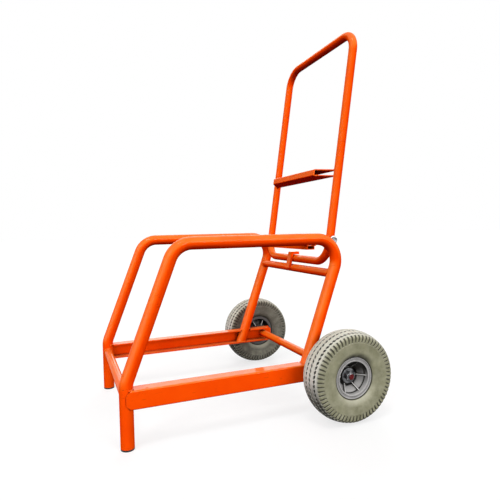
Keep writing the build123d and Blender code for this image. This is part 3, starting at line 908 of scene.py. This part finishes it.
def buildRim(name, node, side):
    form = rimForm
    sector = 2 * math.pi / form["ribs"]
    bm = bmesh.new()
    layers = [bm.verts.layers.float.new(layer) for layer in ("crest", "inboard", "dishCorner")]
    crestLayer, inboardLayer, cornerLayer = layers
    turnSector(bm, rimOutline(form), side, sector, form["sectorSteps"])
    web = form["lip"] - form["webDepth"]
    # painted shade: a dark line round the dish's outer corner
    for vert in bm.verts:
        radius = math.hypot(vert.co.x, vert.co.z) / mm
        along = vert.co.y * side / mm
        if radius > form["openingRadius"] - form["cornerShadeReach"] and abs(along - web) < form["cornerShadeHalf"]:
            vert[cornerLayer] = 1.0
    hub = form["bossRadius"] - form["ribBite"]
    barrel = form["openingRadius"] + form["ribBite"]
    addRib(bm, form, side, (form["ribHub"], hub), (form["ribLip"], barrel), form["ribDepth"])
    addRib(bm, form, side, (form["ribBackHub"], hub), (form["ribBack"], barrel), form["ribBackDepth"])
    for vert in bm.verts:
        along = vert.co.y * side / mm
        # painted shade on the inboard side
        vert[inboardLayer] = 1.0 if along < form["wellFloor"] else 0.0
        # painted highlight on the lip's rolled edges
        if along > form["lip"] - form["lipBand"]:
            vert[crestLayer] = form["lipRub"]
    return repeatAround(bm, name, form["ribs"], middleOf(node), "rim_grey")


for side, sign in sides.items():
    rim = buildRim(side + "Rim", side + "_tyre", sign)
    place(side + "Rim", rim, side + "_wheel", "rim_grey", side + "_rim")


# Hex nuts and bolts: a sixth of the hexagon, repeated round its own axis

hexForm = {
    "chamfer": 30.0,
    "crown": 0.96,  # share of the flats
    "steps": 12,
    "sharp": 25.0,
    "ease": 0.6,  # at the bore's foot
    "collarFoot": ((0.0, 0.5), (0.4, 0.1)),  # over the flats, out from the collar
    "collarTop": ((1.6, 0.0), (0.5, 0.5), (0.0, 1.5)),  # under the top, in from the collar
    "boreTop": ((0.3, 0.9), (0.9, 0.2), (1.4, 0.0)),  # under the top, out from the bore
}
axleNut = {"flats": 23.8, "height": 10.4, "bore": 7.95, "collar": 10.6, "collarHeight": 3.6}
pivotHead = {"flats": 16.0, "height": 6.4, "shank": 5.0, "grip": 50.05, "dome": 3.0,
             "point": 1.0, "taper": 1.2}
pivotNut = {"flats": 16.0, "height": 7.4, "bore": 5.05, "collar": 7.1, "collarHeight": 2.6}


def ringAt(along, radius):
    return lambda angle: (along, radius)


def hexRows(flats, height):
    # rings of (along, radius) by angle: chamfered foot, flats, chamfered top
    slope = math.tan(math.radians(hexForm["chamfer"]))
    crown = flats / 2 * hexForm["crown"]

    def corner(angle):
        return flats / 2 / math.cos(angle)

    def rise(angle):
        return (corner(angle) - crown) * slope

    return [
        ringAt(0.0, crown),
        lambda angle: (rise(angle), corner(angle)),
        lambda angle: (height - rise(angle), corner(angle)),
        ringAt(height, crown),
    ]


def buildHex(name, rows, centre, side, closed):
    bm = bmesh.new()
    steps = hexForm["steps"]
    angles = [math.pi / 3 * (step / steps - 0.5) for step in range(steps + 1)]
    skin(bm, [[bm.verts.new(spoke(*row(angle), angle, side)) for angle in angles] for row in rows], closed)
    return repeatAround(bm, name, 6, centre, "bright_zinc")


def lockNut(name, form, centre, side):
    collar, bore, height, ease = form["collar"], form["bore"], form["height"], hexForm["ease"]
    top = height + form["collarHeight"]
    rows = [ringAt(ease, bore), ringAt(0.0, bore + ease)] + hexRows(form["flats"], height)
    rows += [ringAt(height + up, collar + out) for up, out in hexForm["collarFoot"]]
    rows += [ringAt(top - down, collar - inward) for down, inward in hexForm["collarTop"]]
    rows += [ringAt(top - down, bore + out) for down, out in hexForm["boreTop"]]
    return buildHex(name, rows, centre, side, True)


def pivotBolt(name, form, centre, side):
    grip, shank, height = form["grip"], form["shank"], form["height"]
    rows = [ringAt(height, 0.0), ringAt(height, form["dome"])] + hexRows(form["flats"], height)[::-1]
    rows += [ringAt(0.0, shank), ringAt(form["taper"] - grip, shank)]
    rows += [ringAt(-grip, shank - form["point"]), ringAt(-grip, 0.0)]
    return buildHex(name, rows, centre, side, False)


# node: builder, form, axis, the node whose outer face it stands on, the way it points
hexSets = {
    "axle_nuts": (lockNut, axleNut, axle, "axle_washers", 1),
    "pivot_bolts": (pivotBolt, pivotHead, pivot, "pivot_head_washers", 1),
    "pivot_nuts": (lockNut, pivotNut, pivot, "pivot_nuts", -1),
}
for node, (build, form, axis, seat, way) in hexSets.items():
    name = camelName(node)
    bm = bmesh.new()
    for side, sign in sides.items():
        centre = Vector((axis.x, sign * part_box(seat)[1].y, axis.z))
        bm.from_mesh(build(side + name, form, centre, sign * way))
    place(name, finishedMesh(bm, name, "bright_zinc", hexForm["sharp"]), "frame", "bright_zinc", node)


# Washers and spacers: turned rings with softened edges

ringForms = {
    "axle_washers": {"bore": 7.99, "thickness": 3.4, "edge": 0.9, "finish": "oiled_zinc"},
    "axle_spacers": {"bore": 7.99, "thickness": 11.2, "edge": 0.6, "finish": "oiled_zinc"},
    "pivot_head_washers": {"bore": 5.05, "thickness": 2.0, "edge": 0.6, "finish": "bright_zinc"},
    "pivot_thrust_washers": {"bore": 5.05, "thickness": 1.25, "edge": 0.3, "finish": "black_plastic"},
    "pivot_end_washers": {"bore": 5.05, "thickness": 2.0, "edge": 0.6, "finish": "bright_zinc"},
}
ringSteps = 64
boreEdge = 0.4  # share of the outer edge's rounding


def buildRings(name, node, form):
    centre = middleOf(node)
    radius = sizeOf(node).z / 2 / mm
    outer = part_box(node)[1].y / mm
    inner = outer - form["thickness"]
    edge = form["edge"]
    outline = softOutline([(inner, form["bore"], edge * boreEdge), (inner, radius, edge),
                           (outer, radius, edge), (outer, form["bore"], edge * boreEdge)])
    bm = bmesh.new()
    for side in sides.values():
        turnSector(bm, outline, side, 2 * math.pi, ringSteps)
    bmesh.ops.translate(bm, verts=bm.verts, vec=Vector((centre.x, 0, centre.z)))
    return finishedMesh(bm, name, form["finish"])


for node, form in ringForms.items():
    name = camelName(node)
    slot = "bright_zinc" if form["finish"] == "oiled_zinc" else form["finish"]
    place(name, buildRings(name, node, form), "frame", slot, node)


# Foot plugs: a rim with a rounded sole, and a cup inside the leg

plugForm = {"rim": 5.0, "sole": 1.6, "spigot": 14.55, "wall": 3.0, "height": 25.0,
            "hollow": 0.35, "hollowShare": (0.62, 0.66)}  # a shallow dip under the sole


def buildPlug(name, node, form):
    centre = middleOf(node)
    radius = sizeOf(node).x / 2 / mm
    rim, spigot, height = form["rim"], form["spigot"], form["height"]
    outline = softOutline([
        (0.0, radius, form["sole"]),
        (rim, radius, 0.4),
        (rim, spigot, 0.3),
        (height, spigot, 0.8),
        (height, spigot - form["wall"], 0.8),
        (rim, spigot - form["wall"], 0.8),
        (rim, 0.0, 0.0),
        (form["hollow"], 0.0, 0.0),
        (form["hollow"], radius * form["hollowShare"][0], 0.3),
        (0.0, radius * form["hollowShare"][1], 0.3),
    ])
    bm = bmesh.new()
    turnSector(bm, outline, 1, 2 * math.pi, ringSteps)
    bmesh.ops.rotate(bm, verts=bm.verts, matrix=Matrix.Rotation(math.pi / 2, 3, "X"))
    bmesh.ops.translate(bm, verts=bm.verts, vec=Vector((centre.x, centre.y, 0)))
    return finishedMesh(bm, name, "black_plastic")


for node in ("left_foot_plug", "right_foot_plug"):
    name = camelName(node)
    place(name, buildPlug(name, node, plugForm), "frame", "black_plastic", node)


# Weld beads: a rippled bead swept along every joint of the pipes

weldForm = {
    "bead": 2.5 * mm,
    "pitch": 3.2 * mm,
    "depth": 0.28,
    "uneven": 0.55,
    "unevenScale": 90.0,
    "sharp": 60.0,
    "touch": 0.985,  # of the leg's radius, as far as a cross tube is welded
    "legArc": (-0.70, 0.70),  # arcs are in half turns
    "footArc": (0.25, 1.75),
    "footLift": 4.5 * mm,
    "toeArc": (-0.42, 0.42),
    "toeInset": 1.5 * mm,
    "barHalf": 10.0 * mm,
    "barLift": 0.4 * mm,
    "climbArc": (0.0, 0.20),  # up the side of a pipe
}
hoopForm = {"railHeight": 530.0 * mm, "rearCorner": axle.x + 48.6 * mm, "rearLean": math.radians(19.95)}
bracketForm = {"rise": 213.3 * mm, "halfHeight": 10.8 * mm, "lean": math.radians(8.76)}  # up the handle's leg


def makeWeldBead():
    inputs = {"Bead": "Float", "Ripple Pitch": "Float", "Ripple Depth": "Float"}
    tree, given, result = newShape("weldBead", inputs)
    step = maths(tree, "DIVIDE", given["Ripple Pitch"], 4.0)
    line = put(tree, "GeometryNodeResampleCurve", {"Curve": given["Geometry"], "Length": step}, mode="LENGTH")
    along = put(tree, "GeometryNodeSplineParameter")["Length"]
    scallop = maths(tree, "FRACT", maths(tree, "DIVIDE", along, given["Ripple Pitch"]))
    dip = maths(tree, "MULTIPLY", maths(tree, "MULTIPLY", scallop, scallop), given["Ripple Depth"])
    spot = put(tree, "GeometryNodeInputPosition")[0]
    cloud = maths(tree, "SUBTRACT", noise(tree, spot, weldForm["unevenScale"]), 0.5)
    uneven = maths(tree, "MULTIPLY", cloud, weldForm["uneven"])
    width = maths(tree, "ADD", maths(tree, "SUBTRACT", 1.0, dip), uneven)
    bead = put(tree, "GeometryNodeSetCurveRadius", {"Curve": line[0], "Radius": width})
    ring = put(tree, "GeometryNodeCurvePrimitiveCircle", {"Resolution": 10, "Radius": given["Bead"]})
    swept = put(tree, "GeometryNodeCurveToMesh", {
        "Curve": bead[0], "Profile Curve": ring[0], "Fill Caps": True})
    return realize(tree, given, result, swept)


weldBead = makeWeldBead()


def beadsAlong(name, body, paths):
    curve = bpy.data.curves.new(name + "Lines", "CURVE")
    curve.dimensions = "3D"
    for points, closed in paths:
        line = curve.splines.new("POLY")
        line.points.add(len(points) - 1)
        for spot, point in zip(line.points, points):
            spot.co = (*point, 1.0)
        line.use_cyclic_u = closed
    values = {"Bead": weldForm["bead"], "Ripple Pitch": weldForm["pitch"],
              "Ripple Depth": weldForm["depth"], "Finish": finishes["orange_paint"]}
    mesh = settle(newPiece(name + "Lines", curve), weldBead, values, name)
    closeUp(mesh)
    smooth(mesh, weldForm["sharp"])
    place(name, mesh, body, "orange_paint")
    print(len(paths), "weld beads on the", body)


def ringLine(centre, first, second, arc=None, steps=56):
    # points, and whether they close: all round, or along an arc
    start, end = arc or (0.0, 2.0)
    points = []
    for step in range(steps + 1 if arc else steps):
        angle = math.pi * (start + (end - start) * step / steps)
        points.append(centre + first * math.cos(angle) + second * math.sin(angle))
    return points, arc is None


def crossLine(x, y, z, half):
    return [Vector((x, y + share * half, z)) for share in (-1, 0, 1)], False


def saddleLine(tube, leg, lean, side):
    # where a cross tube meets a leg that leans by the angle in the XZ plane
    radius = sizeOf(tube).z / 2
    points = []
    for spot in ringLine(middleOf(tube), Vector((radius, 0, 0)), Vector((0, 0, radius)), steps=72)[0]:
        off = (spot.x - leg.x) * math.cos(lean) - (spot.z - leg.z) * math.sin(lean)
        if abs(off) < hoopRadius * weldForm["touch"]:
            spot.y = leg.y - side * math.sqrt(hoopRadius ** 2 - off ** 2)
            points.append(spot)
        else:
            points.append(None)
    if None not in points:
        return points, True
    first = points.index(None)
    turned = points[first:] + points[:first]
    return [point for point in turned if point is not None], False


frameLines = []
channelLow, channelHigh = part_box("left_channel")
barLow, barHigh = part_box("handle_rest_bar")
hoopRadius = sizeOf("left_hoop").y / 2
axleTube = sizeOf("axle_tube")
lean = hoopForm["rearLean"]
for side, sign in sides.items():
    hoopY = middleOf(side + "_hoop").y
    frontLeg = Vector((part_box(side + "_hoop")[0].x + hoopRadius, hoopY, 0))
    rearCorner = Vector((hoopForm["rearCorner"], hoopY, hoopForm["railHeight"]))
    frameLines.append(saddleLine("front_cross_tube", frontLeg, 0.0, sign))
    frameLines.append(saddleLine("rear_cross_tube", rearCorner, lean, sign))
    # axle tube against the channel's web
    tubeEnd = Vector((axle.x, sign * axleTube.y / 2, axle.z))
    frameLines.append(ringLine(tubeEnd, Vector((axleTube.z / 2, 0, 0)), Vector((0, 0, axleTube.z / 2))))
    # rear leg through the channel's top flange, and its foot on the bottom flange
    across = Vector((0, sign * hoopRadius, 0))
    length = Vector((hoopRadius / math.cos(lean), 0, 0))
    for height, arc in ((channelHigh.z, weldForm["legArc"]),
                        (channelLow.z + weldForm["footLift"], weldForm["footArc"])):
        back = (hoopForm["railHeight"] - height) * math.tan(lean)
        legCentre = Vector((hoopForm["rearCorner"] - back, hoopY, height))
        frameLines.append(ringLine(legCentre, across, length, arc))
    # front leg against the ends of the flanges
    for height in (channelLow.z + weldForm["toeInset"], channelHigh.z - weldForm["toeInset"]):
        legCentre = Vector((frontLeg.x, hoopY, height))
        frameLines.append(ringLine(legCentre, Vector((hoopRadius, 0, 0)), across, weldForm["toeArc"], 30))
    # rest bar against the rail
    for x in (barLow.x, barHigh.x):
        frameLines.append(crossLine(x, hoopY, barHigh.z + weldForm["barLift"], weldForm["barHalf"]))
# stop hook's foot on the front of the rear cross tube
crossMiddle = middleOf("rear_cross_tube")
crossRadius = sizeOf("rear_cross_tube").z / 2
hookHalf = sizeOf("handle_stop_hook").y / 2
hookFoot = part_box("handle_stop_hook")[0].z
frameLines.append(crossLine(crossMiddle.x - crossRadius, 0.0, hookFoot, hookHalf))
for sign in sides.values():
    hookSide = Vector((crossMiddle.x, sign * hookHalf, crossMiddle.z))
    ahead, up = Vector((-crossRadius, 0, 0)), Vector((0, 0, crossRadius))
    frameLines.append(ringLine(hookSide, ahead, up, weldForm["climbArc"], 10))
beadsAlong("frameWelds", "frame", frameLines)

# bracket's flanges against the inside of the handle's legs
handleLines = []
lean = bracketForm["lean"]
legRadius = crossRadius  # the same pipe
legPlane = sizeOf("handle_loop").y / 2 - legRadius
upLeg = Vector((math.sin(lean), 0, math.cos(lean)))
ahead = Vector((-math.cos(lean), 0, math.sin(lean))) * legRadius
for sign in sides.values():
    for offset in (-bracketForm["halfHeight"], bracketForm["halfHeight"]):
        centre = Vector((pivot.x, sign * legPlane, pivot.z)) + upLeg * (bracketForm["rise"] + offset)
        inward = Vector((0, -sign * legRadius, 0))
        handleLines.append(ringLine(centre, inward, ahead, weldForm["climbArc"], 12))
beadsAlong("handleWelds", "handle", handleLines)


# Camera at the photograph's viewing angle

cameraForm = {"place": (-0.505196, -1.441109, 0.566789), "yaw": -22.389, "pitch": 2.747, "roll": -1.124,
              "lens": 32.655, "sensor": 36.0}


def addCamera(form):
    lens = bpy.data.cameras.new("viewCamera")
    lens.lens = form["lens"]
    lens.sensor_width = form["sensor"]
    camera = newPiece("viewCamera", lens)
    yaw = Matrix.Rotation(math.radians(form["yaw"]), 4, "Z")
    pitch = Matrix.Rotation(math.radians(90 - form["pitch"]), 4, "X")
    roll = Matrix.Rotation(math.radians(form["roll"]), 4, "Z")
    camera.matrix_world = Matrix.Translation(form["place"]) @ yaw @ pitch @ roll
    scene.camera = camera


# Pale floor, white surroundings and soft studio light

lamps = {
    "topLight": {"strength": 0.6, "spread": 14.0, "from": (-0.25, -0.30, 0.92)},
    "skyLight": {"strength": 0.9, "spread": 110.0, "from": (0.0, -0.10, 1.0)},
    "frontLight": {"strength": 2.15, "spread": 40.0, "from": (0.36, -0.91, 0.18)},
    "fillLight": {"strength": 2.0, "spread": 60.0, "from": (-0.86, -0.44, 0.22)},
    "backLight": {"strength": 1.5, "spread": 50.0, "from": (0.35, 0.95, 0.45)},
}
lightForm = {
    "surround": 0.16,  # what the object gets of it; seen directly it is white
    "floor": colour(0.32, 0.32, 0.32),
    "floorGlow": colour(0.70, 0.70, 0.70),
    "floorBounce": colour(0.10, 0.098, 0.096),
    "floorHalf": 30.0,
}


def addSun(name, form):
    lamp = bpy.data.lights.new(name, "SUN")
    lamp.energy = form["strength"]
    lamp.angle = math.radians(form["spread"])
    sun = newPiece(name, lamp)
    sun.rotation_euler = Vector(form["from"]).to_track_quat("Z", "Y").to_euler()


def seenDirectly(tree):
    # camera, mirror and glass rays
    rays = put(tree, "ShaderNodeLightPath")
    seen = maths(tree, "MAXIMUM", rays["Is Camera Ray"], rays["Is Glossy Ray"])
    return maths(tree, "MAXIMUM", seen, rays["Is Transmission Ray"])


def addWorld(form):
    world = bpy.data.worlds.new("studio")
    world.use_nodes = True
    scene.world = world
    tree = world.node_tree
    strength = remap(tree, seenDirectly(tree), 0.0, 1.0, form["surround"], 1.0)
    feed(tree, tree.nodes["Background"].inputs, {"Color": colour(1.0, 1.0, 1.0), "Strength": strength})


def addFloor(form):
    bm = bmesh.new()
    bmesh.ops.create_grid(bm, x_segments=1, y_segments=1, size=form["floorHalf"])
    floor = newPiece("floor", meshFrom(bm, "floor"))
    material, tree, shader = newFinish("paleFloor")
    seen = seenDirectly(tree)
    feed(tree, shader, {"Base Color": blend(tree, seen, form["floorBounce"], form["floor"]),
                        "Emission Color": blend(tree, seen, colour(0.0, 0.0, 0.0), form["floorGlow"]),
                        "Emission Strength": 1.0, "Roughness": 1.0, "Specular IOR Level": 0.0})
    floor.data.materials.append(material)


addCamera(cameraForm)
for name, form in lamps.items():
    addSun(name, form)
addWorld(lightForm)
addFloor(lightForm)
print("camera, light and floor done")
